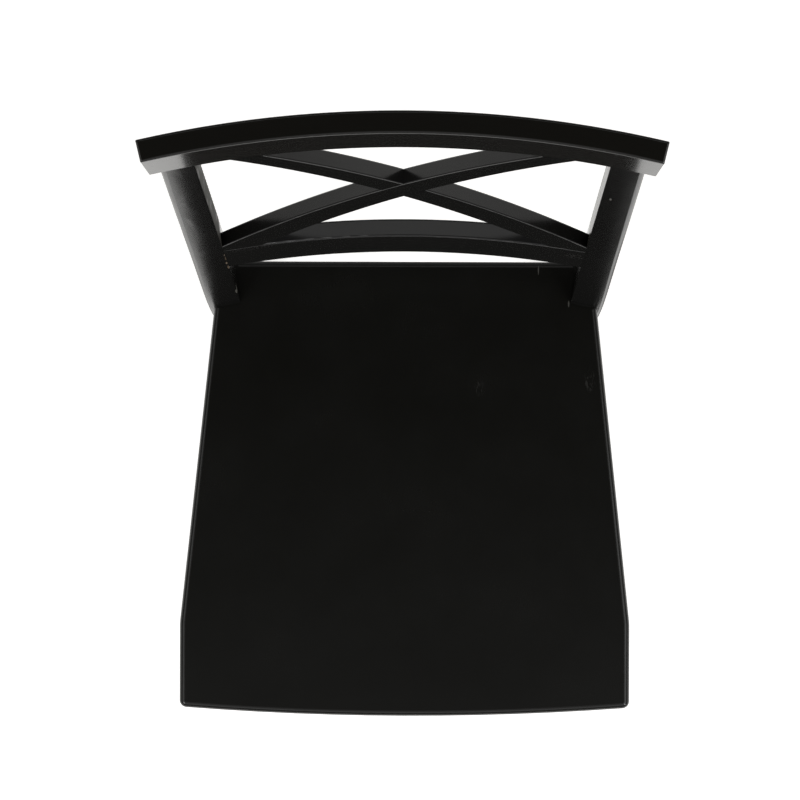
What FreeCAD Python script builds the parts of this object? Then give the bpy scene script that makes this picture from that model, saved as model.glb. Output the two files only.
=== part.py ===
import FreeCAD, Part
import Sketcher, PartDesign
import math
import os
import re

V = FreeCAD.Vector

# Chair frame: X right as seen from the front, Y towards the back, Z up,
# origin on the floor under the middle of the chair's box, millimetres.
doc = FreeCAD.newDocument("cross_back_chair")
dims = doc.addObject("Spreadsheet::Sheet", "dims")

SIZES = [
    ("seat_top", 457.0, "seat surface above the floor"),
    ("seat_thick", 20.0, "seat panel thickness"),
    ("seat_front_half", 220.0, "half width of the seat at the front"),
    ("seat_rear_half", 186.9, "half width of the seat at the posts"),
    ("seat_front_y", -265.9, "middle of the front edge"),
    ("seat_corner_y", -257.8, "front edge at the corners"),
    ("seat_kink_y", -175.0, "where the side edge turns inwards"),
    ("seat_notch_y", 135.0, "front of the notch for the post"),
    ("seat_rear_y", 178.2, "rear edge of the seat"),
    ("tongue_half", 168.6, "half width of the seat behind the posts"),
    ("shadow_gap", 0.6, "rebate of the seat round the posts, width and depth"),
    ("seat_round", 6.0, "roundover of the top edge"),
    ("seat_under_round", 2.0, "roundover of the lower edge"),
    ("seat_corner_round", 7.0, "front corners in plan"),
    ("seat_kink_round", 60.0, "soft bend of the side edge"),
    ("back_y", 154.0, "front of the back at seat level, on the centre line"),
    ("rake_deg", 11.695, "lean of the back"),
    ("arc_front", 915.4, "plan radius of the front faces of the back"),
    ("crest_low", 431.2, "underside of the crest along the rake, in the middle"),
    ("crest_high", 467.7, "top of the crest along the rake, in the middle"),
    ("crest_thick", 18.0, "crest thickness"),
    ("crest_half_top", 203.1, "half width, front top"),
    ("crest_half_low", 200.0, "half width, front bottom"),
    ("crest_round", 2.0, "edge rounding of the crest's top"),
    ("crest_end_round", 1.0, "edge rounding of the crest's ends"),
    ("crest_low_round", 1.2, "edge rounding of the crest's underside"),
    ("rail_low", 124.5, "underside of the lower rail along the rake"),
    ("rail_high", 177.8, "top of the lower rail along the rake"),
    ("rail_thick", 16.5, "lower rail thickness"),
    ("rail_round", 1.8, "edge rounding of the lower rail"),
    ("tenon_thick", 8.0, "tenon of the lower rail"),
    ("tenon_shoulder", 9.0, "shoulder above and below the tenon"),
    ("tenon_half", 178.0, "half span over the tenons"),
    ("brace_thick", 14.0, "brace thickness"),
    ("brace_low_c", 299.6, "lower edge line of the brace, height at the middle"),
    ("brace_low_m", 0.951, "lower edge line of the brace, slope"),
    ("brace_high_c", 334.2, "upper edge line of the brace, height at the middle"),
    ("brace_high_m", 0.875, "upper edge line of the brace, slope"),
    ("brace_round", 1.2, "edge rounding of the braces"),
    ("post_turn", 9.5, "turn of the front, outer and rear faces about the vertical"),
    ("post_turn_in_seat", 9.2, "turn of the inner face at seat level"),
    ("post_turn_in_top", 8.0, "turn of the inner face at the crest"),
    ("post_bulge", 0.7, "rise of the post's curved front face"),
    ("post_in_seat", 161.0, "inner front edge at seat level"),
    ("post_in_top", 164.0, "inner front edge at the crest"),
    ("post_w_seat", 32.0, "post width at the seat"),
    ("post_w_top", 28.0, "post width at the crest"),
    ("post_d_seat", 32.0, "post depth at the seat"),
    ("post_d_top", 20.0, "post depth just above the crest's underside"),
    ("post_front_seat", 138.2, "inner front edge at seat level, Y"),
    ("post_round_big", 3.2, "outer front edge of the post at the seat"),
    ("post_round_big_top", 5.0, "outer front edge of the post at the crest"),
    ("post_round_in", 0.8, "inner front edge of the post"),
    ("post_round", 1.5, "other long edges of the post"),
    ("foot_w", 26.0, "rear foot width"),
    ("foot_d", 26.0, "rear foot depth"),
    ("leg_top_size", 34.0, "front leg at the apron"),
    ("leg_foot_size", 26.0, "front leg at the floor"),
    ("leg_out_x", 204.0, "outer face of the front leg"),
    ("leg_front_y", -247.0, "front face of the front leg"),
    ("leg_round", 2.5, "long edges of the front leg"),
    ("apron_tall", 55.0, "apron height"),
    ("apron_thick", 18.0, "apron thickness"),
    ("apron_round", 1.2, "lower edges of the aprons"),
    ("glide_tall", 3.0, "glide under each foot"),
    ("glide_dia", 18.0, "glide diameter"),
    ("glide_pin_dia", 5.0, "glide pin diameter"),
    ("glide_pin_tall", 10.0, "glide pin length"),
    ("dowel_dia", 8.0, "beech dowel diameter"),
    ("dowel_half", 14.0, "dowel depth in each piece"),
    ("pin_dia", 6.0, "brace dowel diameter"),
    ("pin_half", 11.0, "brace dowel depth in each piece"),
    ("stretch_z", 170.0, "stretcher centre height"),
    ("stretch_w", 20.0, "stretcher width"),
    ("stretch_tall", 26.0, "stretcher height"),
    ("round_tenon_dia", 12.0, "round tenon of the stretchers"),
    ("block_tall", 36.0, "corner block height"),
    ("bolt_dia", 5.0, "corner bolt shank"),
    ("bolt_head_dia", 11.0, "corner bolt head"),
    ("screw_dia", 4.0, "seat screw shank"),
    ("screw_head_dia", 8.0, "seat screw head"),
]
S = {}
for i, (alias, value, note) in enumerate(SIZES):
    row = i + 1
    dims.set("A%d" % row, note)
    dims.set("B%d" % row, repr(value))
    dims.setAlias("B%d" % row, alias)
    S[alias] = value
scratch = doc.addObject("Spreadsheet::Sheet", "scratch")
doc.recompute()


def ref(expr):
    # the same formula, written for use outside the sheet
    return re.sub(r"[A-Za-z_][A-Za-z_0-9]*",
                  lambda m: "dims." + m.group(0) if m.group(0) in S else m.group(0), expr)


def num(expr):
    # value of a formula of sheet sizes, worked out on a scratch sheet
    scratch.set("A1", "=" + ref(expr))
    scratch.recompute()
    value = scratch.get("A1")
    return float(getattr(value, "Value", value))


def bind(obj, **props):
    for prop, expr in props.items():
        obj.setExpression(prop, ref(expr))
    return obj


def role_plane(body, role):
    for f in body.Origin.OriginFeatures:
        if getattr(f, "Role", "") == role:
            return f
    raise RuntimeError("no plane " + role)


def new_body(name):
    return doc.addObject("PartDesign::Body", name)


def new_sketch(body, name, role, offset=None):
    sk = body.newObject("Sketcher::SketchObject", name)
    sk.AttachmentSupport = [(role_plane(body, role), "")]
    sk.MapMode = "FlatFace"
    if offset is not None:
        sk.AttachmentOffset = FreeCAD.Placement(V(0, 0, num(offset)), FreeCAD.Rotation())
        sk.setExpression("AttachmentOffset.Base.z", ref(offset))
    return sk


def hold(sk, kind, args, expr, name):
    # a driving constraint bound to the sheet
    k = sk.addConstraint(Sketcher.Constraint(kind, *args, num(expr)))
    sk.renameConstraint(k, name)
    sk.setExpression("Constraints." + name, ref(expr))


def polygon(sk, pts, tag="p"):
    # closed outline, every corner placed by two sheet formulas
    xy = [(num(a), num(b)) for a, b in pts]
    n = len(pts)
    first = sk.GeometryCount
    for i in range(n):
        a, b = xy[i], xy[(i + 1) % n]
        sk.addGeometry(Part.LineSegment(V(a[0], a[1], 0), V(b[0], b[1], 0)), False)
    for i in range(n):
        sk.addConstraint(Sketcher.Constraint("Coincident", first + i, 2, first + (i + 1) % n, 1))
    for i, (ex, ey) in enumerate(pts):
        hold(sk, "DistanceX", (-1, 1, first + i, 1), ex, "%s%dx" % (tag, i))
        hold(sk, "DistanceY", (-1, 1, first + i, 1), ey, "%s%dy" % (tag, i))
    return first


def rounded_quad(sk, at, w, d, radii, bulge=None):
    # four sides and four rounded corners; at(a, b) gives the two formulas of a
    # point of the section in its own axes, and bulge the rise of a curved front
    r = ["(%s)" % x for x in radii]
    w, d = "(%s)" % w, "(%s)" % d
    ring = [(r[0], "0"), (w + "-" + r[1], "0"), (w, r[1]), (w, d + "-" + r[2]),
            (w + "-" + r[2], d), (r[3], d), ("0", d + "-" + r[3]), ("0", r[0])]
    mids = [(w + "-" + r[1], r[1], 1, -1, r[1]), (w + "-" + r[2], d + "-" + r[2], 1, 1, r[2]),
            (r[3], d + "-" + r[3], -1, 1, r[3]), (r[0], r[0], -1, -1, r[0])]
    form = [at(a, b) for a, b in ring]
    pts = [V(num(x), num(y), 0) for x, y in form]
    for i in range(4):
        if i == 0 and bulge:
            m = at("((%s)+(%s))/2" % (ring[0][0], ring[1][0]), "-(%s)" % bulge)
            front_arc = Part.Arc(pts[0], V(num(m[0]), num(m[1]), 0), pts[1])
            sk.addGeometry(front_arc, False)
        else:
            sk.addGeometry(Part.LineSegment(pts[2 * i], pts[2 * i + 1]), False)
    flipped = bool(bulge) and sk.getPoint(0, 1).distanceToPoint(pts[0]) > 1e-6
    ends = {0: (2, 1) if flipped else (1, 2)}
    for i in range(4):
        ca, cb, ka, kb, rr = mids[i]
        m = at("%s+%.7f*%s" % (ca, ka * math.sqrt(0.5), rr), "%s+%.7f*%s" % (cb, kb * math.sqrt(0.5), rr))
        arc = Part.Arc(pts[2 * i + 1], V(num(m[0]), num(m[1]), 0), pts[(2 * i + 2) % 8])
        sk.addGeometry(arc, False)
        g = 4 + i
        a_first = sk.getPoint(g, 1).distanceToPoint(pts[2 * i + 1]) < 1e-6
        j = (i + 1) % 4
        sk.addConstraint(Sketcher.Constraint("Coincident", g, 1 if a_first else 2, i, ends.get(i, (1, 2))[1]))
        sk.addConstraint(Sketcher.Constraint("Coincident", g, 2 if a_first else 1, j, ends.get(j, (1, 2))[0]))
    for i, (ex, ey) in enumerate(form):
        end = ends.get(i // 2, (1, 2))[i % 2]
        hold(sk, "DistanceX", (-1, 1, i // 2, end), ex, "q%dx" % i)
        hold(sk, "DistanceY", (-1, 1, i // 2, end), ey, "q%dy" % i)
    for i in range(4):
        hold(sk, "Radius", (4 + i,), mids[i][4], "r%d" % i)
    if bulge:
        chord = "(%s-%s-%s)" % (w, r[0], r[1])
        hold(sk, "Radius", (0,), "(%s^2/4+(%s)^2)/(2*(%s))" % (chord, bulge, bulge), "rf")


def arc_band(sk, r_in, r_out, half):
    # band between two arcs about (0, -arc_front), closed by radial ends
    ri, ro, a, c = num(r_in), num(r_out), num(half), -num("arc_front")
    b = a * ro / ri
    pi_ = [V(-a, c + math.sqrt(ri * ri - a * a), 0), V(a, c + math.sqrt(ri * ri - a * a), 0)]
    po = [V(-b, c + math.sqrt(ro * ro - b * b), 0), V(b, c + math.sqrt(ro * ro - b * b), 0)]

    def arc(r, p):
        circ = Part.Circle(V(0, c, 0), V(0, 0, 1), r)
        a0 = math.atan2(p[1].y - c, p[1].x)
        a1 = math.atan2(p[0].y - c, p[0].x)
        return Part.ArcOfCircle(circ, a0, a1)

    sk.addGeometry(arc(ri, pi_), False)
    sk.addGeometry(arc(ro, po), False)
    sk.addGeometry(Part.LineSegment(pi_[1], po[1]), False)
    sk.addGeometry(Part.LineSegment(po[0], pi_[0]), False)
    C = Sketcher.Constraint
    sk.addConstraint(C("Coincident", 0, 1, 2, 1))
    sk.addConstraint(C("Coincident", 2, 2, 1, 1))
    sk.addConstraint(C("Coincident", 1, 2, 3, 1))
    sk.addConstraint(C("Coincident", 3, 2, 0, 2))
    sk.addConstraint(C("PointOnObject", 0, 3, -2))
    sk.addConstraint(C("Coincident", 0, 3, 1, 3))
    hold(sk, "DistanceY", (-1, 1, 0, 3), "-arc_front", "centre")
    hold(sk, "Radius", (0,), r_in, "inner")
    hold(sk, "Radius", (1,), r_out, "outer")
    hold(sk, "DistanceX", (-1, 1, 0, 1), half, "right")
    hold(sk, "DistanceX", (-1, 1, 0, 2), "-(%s)" % half, "left")
    hold(sk, "DistanceX", (-1, 1, 1, 1), "(%s)*(%s)/(%s)" % (half, r_out, r_in), "rightb")
    hold(sk, "DistanceX", (-1, 1, 1, 2), "-(%s)*(%s)/(%s)" % (half, r_out, r_in), "leftb")


def pad(body, sk, length, name, both=False):
    f = body.newObject("PartDesign::Pad", name)
    f.Profile = sk
    f.Length = num(length)
    f.setExpression("Length", ref(length))
    if both:
        f.Midplane = True
    sk.Visibility = False
    body.Tip = f
    return f


def cut(name, base, tools):
    # one base less any number of tools
    f = doc.addObject("Part::Cut", name)
    f.Base = base
    if len(tools) == 1:
        f.Tool = tools[0]
    else:
        m = doc.addObject("Part::Compound", name + "_tools")
        m.Links = tools
        f.Tool = m
    doc.recompute()
    return f


def fuse(name, parts):
    f = doc.addObject("Part::MultiFuse", name)
    f.Shapes = parts
    f.Refine = True
    doc.recompute()
    return f


def common(name, a, b):
    f = doc.addObject("Part::MultiCommon", name)
    f.Shapes = [a, b]
    doc.recompute()
    return f


def group(name, parts):
    f = doc.addObject("Part::Compound", name)
    f.Links = parts
    doc.recompute()
    return f


def axis_placement(point, direction):
    return FreeCAD.Placement(V(*point), FreeCAD.Rotation(V(0, 0, 1), V(*direction)))


def rod(name, point, direction, dia, length):
    # cylinder from a point along a direction
    c = doc.addObject("Part::Cylinder", name)
    c.Radius = num(dia) / 2.0
    c.Height = num(length)
    c.setExpression("Radius", ref("(%s)/2" % dia))
    c.setExpression("Height", ref(length))
    c.Placement = axis_placement(point, direction)
    return c


def block(name, size, placement):
    b = doc.addObject("Part::Box", name)
    for prop, expr in zip(("Length", "Width", "Height"), size):
        setattr(b, prop, num(expr))
        b.setExpression(prop, ref(expr))
    b.Placement = placement
    return b


def round_edges(name, base, picks):
    # picks: (test on an edge, radius formula)
    f = doc.addObject("Part::Fillet", name)
    f.Base = base
    chosen = []
    for k, e in enumerate(base.Shape.Edges):
        for test, expr in picks:
            if test(e):
                r = num(expr)
                chosen.append((k + 1, r, r))
                break
    f.Edges = chosen
    doc.recompute()
    if f.Shape.isNull() or not f.Shape.isValid():
        raise RuntimeError("rounding failed on " + name)
    return f


def mid(e):
    return e.valueAt((e.FirstParameter + e.LastParameter) / 2.0)


RAKE = math.radians(S["rake_deg"])
EH = V(0, math.sin(RAKE), math.cos(RAKE))
EN = V(0, math.cos(RAKE), -math.sin(RAKE))
RAKE_P = FreeCAD.Placement(V(0, S["back_y"], S["seat_top"]),
                           FreeCAD.Rotation(V(-1, 0, 0), S["rake_deg"]))


def rake_place(obj):
    obj.Placement = RAKE_P
    obj.setExpression("Placement.Base.y", "dims.back_y")
    obj.setExpression("Placement.Base.z", "dims.seat_top")
    obj.setExpression("Placement.Rotation.Angle", "dims.rake_deg")
    return obj


def back_point(x, n, h):
    # point of the raked back frame in chair coordinates
    return RAKE_P.multVec(V(x, n, h))


def sag(x):
    return S["arc_front"] - math.sqrt(S["arc_front"] ** 2 - x * x)


# ---------------------------------------------------------------- rear posts
# evenly spaced stations of the lower leg: height, depth shift of the inner
# front edge, blend towards the foot section
POST_STATIONS = [
    ("glide_tall", "48.0", 1.0),
    ("glide_tall+115", "14.0", 0.74),
    ("glide_tall+230", "-8.0", 0.46),
    ("glide_tall+345", "-12.0", 0.18),
]


POST_DEPTH = [0.0, 0.08, 0.17, 0.30, 1.0]


def post_section(body, side, name, height, inner, front, width, depth, turn_in, big="post_round_big", grow="0"):
    # quadrilateral turned with the arc of the back; the inner face turns less
    sk = new_sketch(body, name, "XY_Plane", height)
    sx = "" if side > 0 else "-"

    def at(a, b):
        k = "((%s)/(%s))" % (a, width)
        s_b = "((1-%s)*sin(%s)+%s*sin(post_turn))" % (k, turn_in, k)
        c_b = "((1-%s)*cos(%s)+%s*cos(post_turn))" % (k, turn_in, k)
        x = "(%s)+(%s)*cos(post_turn)+(%s)*%s" % (inner, a, b, s_b)
        y = "(%s)-(%s)*sin(post_turn)+(%s)*%s" % (front, a, b, c_b)
        return "%s(%s)" % (sx, x), y

    def grown(a, b):
        return at("(%s)-(%s)" % (a, grow), "(%s)-(%s)" % (b, grow))

    if grow == "0":
        rounded_quad(sk, at, width, depth, ("post_round_in", big, "post_round", "post_round"),
                     "post_bulge")
    else:
        rounded_quad(sk, grown, "%s+2*%s" % (width, grow), "%s+2*%s" % (depth, grow),
                     ("post_round_in+" + grow, big + "+" + grow, "post_round+" + grow,
                      "post_round+" + grow), "post_bulge")
    return sk


def make_post(side, tag):
    body = new_body("post_stock_" + tag)
    secs = []
    for i, (z, dy, k) in enumerate(POST_STATIONS):
        inner = "post_in_seat+%.3f*6" % k
        w = "post_w_seat+%.3f*(foot_w-post_w_seat)" % k
        d = "post_d_seat+%.3f*(foot_d-post_d_seat)" % k
        secs.append(post_section(body, side, "post_%s_s%d" % (tag, i), z, inner,
                                 "post_front_seat+(%s)" % dy, w, d, "post_turn_in_seat"))
    for i in range(5):
        f = (6.0 + 115.0 * i - 3.0 + 3.0) / 460.0
        z = "glide_tall+%.1f" % (460.0 + 115.0 * i)
        inner = "post_in_seat+%.5f*(post_in_top-post_in_seat)" % f
        w = "post_w_seat+%.5f*(post_w_top-post_w_seat)" % f
        # nearly full depth up to behind the crest, then down to the crest's thickness
        d = "post_d_seat+%.4f*(post_d_top-post_d_seat)" % POST_DEPTH[i]
        y = "post_front_seat+%.5f*(460*tan(rake_deg)+1.4)" % f
        t = "post_turn_in_seat+%.5f*(post_turn_in_top-post_turn_in_seat)" % f
        big = "post_round_big+%.5f*(post_round_big_top-post_round_big)" % f
        secs.append(post_section(body, side, "post_%s_u%d" % (tag, i), z, inner, y, w, d, t, "(%s)" % big))
    doc.recompute()
    loft = body.newObject("PartDesign::AdditiveLoft", "post_loft_" + tag)
    loft.Profile = secs[0]
    loft.Sections = secs[1:]
    loft.Ruled = False
    loft.Closed = False
    body.Tip = loft
    doc.recompute()
    return body


rebates = []
for side, tag in ((-1, "left"), (1, "right")):
    rebate = new_body("seat_rebate_" + tag)
    rebate_sk = post_section(rebate, side, "rebate_plan_" + tag, "seat_top-shadow_gap", "post_in_seat",
                             "post_front_seat-(6+shadow_gap)/460*(460*tan(rake_deg)+1.4)", "post_w_seat",
                             "post_d_seat", "post_turn_in_seat", grow="shadow_gap")
    doc.recompute()
    pad(rebate, rebate_sk, "shadow_gap+1", "rebate_depth_" + tag)
    doc.recompute()
    rebates.append(rebate)
    # the strip of the tongue that reaches behind the post is lowered too
    x = -S["tongue_half"] - 5 if side < 0 else S["tongue_half"] - 5.2
    wing = block("seat_wing_" + tag, ("10.2", "40", "shadow_gap+1"),
                 FreeCAD.Placement(V(x, S["post_front_seat"] + 15, S["seat_top"] - S["shadow_gap"]), FreeCAD.Rotation()))
    rebates.append(wing)

post_stock = {}
for side, tag in ((-1, "left"), (1, "right")):
    post_stock[tag] = make_post(side, tag)

# ---------------------------------------------------------------- front legs
leg_stock = {}
for side, tag in ((-1, "left"), (1, "right")):
    body = new_body("leg_stock_" + tag)
    sx = "" if side > 0 else "-"
    secs = []
    for i, (z, size) in enumerate((("glide_tall", "leg_foot_size"),
                                   ("seat_top-seat_thick-apron_tall-4", "leg_top_size"),
                                   ("seat_top-seat_thick", "leg_top_size"))):
        sk = new_sketch(body, "leg_%s_s%d" % (tag, i), "XY_Plane", z)
        rounded_quad(sk, lambda a, b: ("%s(leg_out_x-(%s))" % (sx, a), "leg_front_y+(%s)" % b),
                     size, size, ("leg_round",) * 4)
        secs.append(sk)
    doc.recompute()
    loft = body.newObject("PartDesign::AdditiveLoft", "leg_loft_" + tag)
    loft.Profile = secs[0]
    loft.Sections = secs[1:]
    loft.Ruled = True
    body.Tip = loft
    doc.recompute()
    leg_stock[tag] = body

# ---------------------------------------------------------------- seat stock
seat_body = new_body("seat_stock")
sk = new_sketch(seat_body, "seat_outline", "XY_Plane", "seat_top-seat_thick")
R_IN = "((seat_front_half-5)^2+(seat_corner_y-seat_front_y)^2)/(2*(seat_corner_y-seat_front_y))"
plan = [("seat_front_half", "seat_corner_y"), ("seat_front_half", "seat_kink_y"),
        ("seat_rear_half", "seat_notch_y"), ("tongue_half+5", "seat_notch_y+12"),
        ("tongue_half", "seat_notch_y+15"), ("tongue_half", "seat_rear_y")]
# the sides of the tongue stand against the posts and stay square
pts = plan + [("-(%s)" % a, b) for a, b in reversed(plan)]
xy = [(num(a), num(b)) for a, b in pts]
n = len(pts)
for i in range(n - 1):
    sk.addGeometry(Part.LineSegment(V(xy[i][0], xy[i][1], 0), V(xy[i + 1][0], xy[i + 1][1], 0)), False)
rad = num(R_IN)
fy = num("seat_front_y")
a0 = math.atan2(xy[-1][1] - (fy + rad), xy[-1][0])
a1 = math.atan2(xy[0][1] - (fy + rad), xy[0][0])
sk.addGeometry(Part.ArcOfCircle(Part.Circle(V(0, fy + rad, 0), V(0, 0, 1), rad), a0, a1), False)
arc_id = n - 1
for i in range(n - 2):
    sk.addConstraint(Sketcher.Constraint("Coincident", i, 2, i + 1, 1))
sk.addConstraint(Sketcher.Constraint("Coincident", n - 2, 2, arc_id, 1))
sk.addConstraint(Sketcher.Constraint("Coincident", arc_id, 2, 0, 1))
for i, (ex, ey) in enumerate(pts[:-1]):
    hold(sk, "DistanceX", (-1, 1, i, 1), ex, "s%dx" % i)
    hold(sk, "DistanceY", (-1, 1, i, 1), ey, "s%dy" % i)
hold(sk, "DistanceX", (-1, 1, n - 2, 2), pts[-1][0], "slx")
hold(sk, "DistanceY", (-1, 1, n - 2, 2), pts[-1][1], "sly")
hold(sk, "Radius", (arc_id,), R_IN, "bow")
doc.recompute()
seat_pad = pad(seat_body, sk, "seat_thick", "seat_board")
doc.recompute()


def seat_fillet(name, base, test, radius):
    f = seat_body.newObject("PartDesign::Fillet", name)
    f.Base = (base, ["Edge%d" % (k + 1) for k, e in enumerate(base.Shape.Edges) if test(e)])
    f.Radius = num(radius)
    f.setExpression("Radius", ref(radius))
    seat_body.Tip = f
    doc.recompute()
    return f


def upright(e):
    return e.BoundBox.ZLength > 15


f1 = seat_fillet("seat_corners", seat_pad,
                 lambda e: upright(e) and mid(e).y < S["seat_corner_y"] + 1, "seat_corner_round")
f2 = seat_fillet("seat_kinks", f1,
                 lambda e: upright(e) and abs(mid(e).y - S["seat_kink_y"]) < 1, "seat_kink_round")


def rim(z):
    def test(e):
        m = mid(e)
        return (e.BoundBox.ZLength < 0.1 and abs(m.z - z) < 0.1
                and not (S["seat_notch_y"] - 0.5 < m.y < S["seat_rear_y"] - 5))
    return test


f4 = seat_fillet("seat_roundover", f2, rim(S["seat_top"]), "seat_round")
f5 = seat_fillet("seat_underround", f4, rim(S["seat_top"] - S["seat_thick"]), "seat_under_round")

# ------------------------------------------------------------- lower back rail
rail_body = new_body("rail_stock")
sk = new_sketch(rail_body, "rail_plan", "XY_Plane", "rail_low")
arc_band(sk, "arc_front", "arc_front+rail_thick", "172")
doc.recompute()
rail_pad = pad(rail_body, sk, "rail_high-rail_low", "rail_board")
doc.recompute()
fl = rail_body.newObject("PartDesign::Fillet", "rail_edges")
fl.Base = (rail_pad, ["Edge%d" % (k + 1) for k, e in enumerate(rail_pad.Shape.Edges)
                      if e.Length > 250])
fl.Radius = num("rail_round")
fl.setExpression("Radius", "dims.rail_round")
rail_body.Tip = fl
rake_place(rail_body)
tenon_body = new_body("rail_tenon")
sk = new_sketch(tenon_body, "tenon_plan", "XY_Plane", "rail_low+tenon_shoulder")
arc_band(sk, "arc_front+(rail_thick-tenon_thick)/2", "arc_front+(rail_thick+tenon_thick)/2", "tenon_half")
doc.recompute()
pad(tenon_body, sk, "rail_high-rail_low-2*tenon_shoulder", "tenon_board")
rake_place(tenon_body)
doc.recompute()
posts_both = group("posts_both", [post_stock["left"], post_stock["right"]])
rail_shouldered = cut("rail_shouldered", rail_body, [posts_both])
lower_back_rail_blank = fuse("lower_back_rail_blank", [rail_shouldered, tenon_body])

# ---------------------------------------------------------------------- crest
crest_body = new_body("crest_stock")
sk = new_sketch(crest_body, "crest_plan", "XY_Plane", "crest_low-12")
arc_band(sk, "arc_front", "arc_front+crest_thick", "crest_half_top+6")
doc.recompute()
pad(crest_body, sk, "crest_high-crest_low+20", "crest_board")
doc.recompute()
trims = []
for side, tag in ((-1, "left"), (1, "right")):
    ht, hl = S["crest_half_top"], S["crest_half_low"]
    phi = math.asin(ht / S["arc_front"])
    tdir = V(side * math.cos(phi), -math.sin(phi), 0)
    zdir = (tdir * ((ht - hl) / math.cos(phi)) + V(0, 0, S["crest_high"] - S["crest_low"])).normalize()
    ydir = V(side * math.sin(phi), math.cos(phi), 0)
    xdir = ydir.cross(zdir)
    if side < 0:
        xdir = xdir
    o = V(side * ht, -sag(ht), S["crest_high"])
    rot = FreeCAD.Rotation(xdir, ydir, zdir, "ZXY")
    shift = V(0, -40, -60) if side > 0 else V(-40, -40, -60)
    trims.append(block("crest_trim_" + tag, ("40", "90", "90"),
                       FreeCAD.Placement(o + rot.multVec(shift), rot)))
crest_cut = cut("crest_trimmed", crest_body, trims)

# the top and the underside are level, so the ends reach less far up the rake
CREST_BOT = S["seat_top"] + S["crest_low"] * math.cos(RAKE)
CREST_TOP = S["seat_top"] + S["crest_high"] * math.cos(RAKE)
slab = block("crest_slab", ("500", "200", "(crest_high-crest_low)*cos(rake_deg)"),
             RAKE_P.inverse().multiply(FreeCAD.Placement(V(-250, 130, CREST_BOT), FreeCAD.Rotation())))
doc.recompute()
crest_level = common("crest_level", crest_cut, slab)


def level_of(e):
    return RAKE_P.multVec(mid(e)).z


crest_round = round_edges("crest_rounded", crest_level,
                          [(lambda e: abs(level_of(e) - CREST_TOP) < 0.2, "crest_round"),
                           (lambda e: abs(level_of(e) - CREST_BOT) < 0.2, "crest_low_round"),
                           (lambda e: e.BoundBox.ZLength > 20, "crest_end_round")])
crest_space = block("crest_space", ("460", "200", "80"),
                    FreeCAD.Placement(V(-230, 130, CREST_BOT), FreeCAD.Rotation()))
crest_space.setExpression("Placement.Base.z", "dims.seat_top+dims.crest_low*cos(dims.rake_deg)")
doc.recompute()

# --------------------------------------------------------------------- braces
brace_raw = {}
for side, tag in ((1, "rising"), (-1, "falling")):
    strip = new_body("brace_strip_" + tag)
    sk = strip.newObject("Sketcher::SketchObject", "brace_face_" + tag)
    sk.AttachmentSupport = [(role_plane(strip, "XZ_Plane"), "")]
    sk.MapMode = "FlatFace"
    sx = "" if side > 0 else "-"
    x_lo = "-169"
    polygon(sk, [("%s(%s)" % (sx, x_lo), "rail_high"),
                 ("%s((rail_high-brace_low_c)/brace_low_m)" % sx, "rail_high"),
                 ("%s((crest_low+6-brace_low_c)/brace_low_m)" % sx, "crest_low+6"),
                 ("%s((crest_low+6-brace_high_c)/brace_high_m)" % sx, "crest_low+6"),
                 ("%s(%s)" % (sx, x_lo), "brace_high_c+brace_high_m*(%s)" % x_lo)])
    doc.recompute()
    pad(strip, sk, "120", "brace_board_" + tag, both=True)
    doc.recompute()
    shell = new_body("brace_shell_" + tag)
    sk = new_sketch(shell, "brace_plan_" + tag, "XY_Plane", "rail_high-20")
    arc_band(sk, "arc_front", "arc_front+brace_thick", "185")
    doc.recompute()
    pad(shell, sk, "crest_low-rail_high+40", "brace_bend_" + tag)
    doc.recompute()
    bent = common("brace_bent_" + tag, shell, strip)

    def long_edge(e):
        return e.Length > 120

    soft = round_edges("brace_soft_" + tag, bent, [(long_edge, "brace_round")])
    brace_raw[tag] = soft

# half lap: the rising brace keeps the front half at the crossing
lap = new_body("lap_stock")
sk = new_sketch(lap, "lap_plan", "XY_Plane", "rail_high-20")
arc_band(sk, "arc_front-20", "arc_front+brace_thick/2", "185")
doc.recompute()
pad(lap, sk, "crest_low-rail_high+40", "lap_front")
lap2 = new_body("lap_stock_rear")
sk = new_sketch(lap2, "lap_plan_rear", "XY_Plane", "rail_high-20")
arc_band(sk, "arc_front+brace_thick/2", "arc_front+brace_thick+20", "185")
doc.recompute()
pad(lap2, sk, "crest_low-rail_high+40", "lap_rear")
doc.recompute()


def plain_strip(tag, side, name):
    s = new_body(name)
    sk = s.newObject("Sketcher::SketchObject", name + "_face")
    sk.AttachmentSupport = [(role_plane(s, "XZ_Plane"), "")]
    sk.MapMode = "FlatFace"
    sx = "" if side > 0 else "-"
    pts = []
    for x, c, m in (("-90", "brace_low_c", "brace_low_m"), ("90", "brace_low_c", "brace_low_m"),
                    ("90", "brace_high_c", "brace_high_m"), ("-90", "brace_high_c", "brace_high_m")):
        pts.append(("%s(%s)" % (sx, x), "%s+%s*(%s)" % (c, m, x)))
    polygon(sk, pts)
    doc.recompute()
    pad(s, sk, "120", name + "_pad", both=True)
    doc.recompute()
    return s


strip_r = plain_strip("rising", 1, "lap_strip_rising")
strip_f = plain_strip("falling", -1, "lap_strip_falling")
lap_zone_front = common("lap_zone_front", strip_r, lap)
lap_zone_rear = common("lap_zone_rear", strip_f, lap2)
rising_lapped = cut("rising_lapped", brace_raw["rising"], [lap_zone_rear])
falling_lapped = cut("falling_lapped", brace_raw["falling"], [lap_zone_front])

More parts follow.
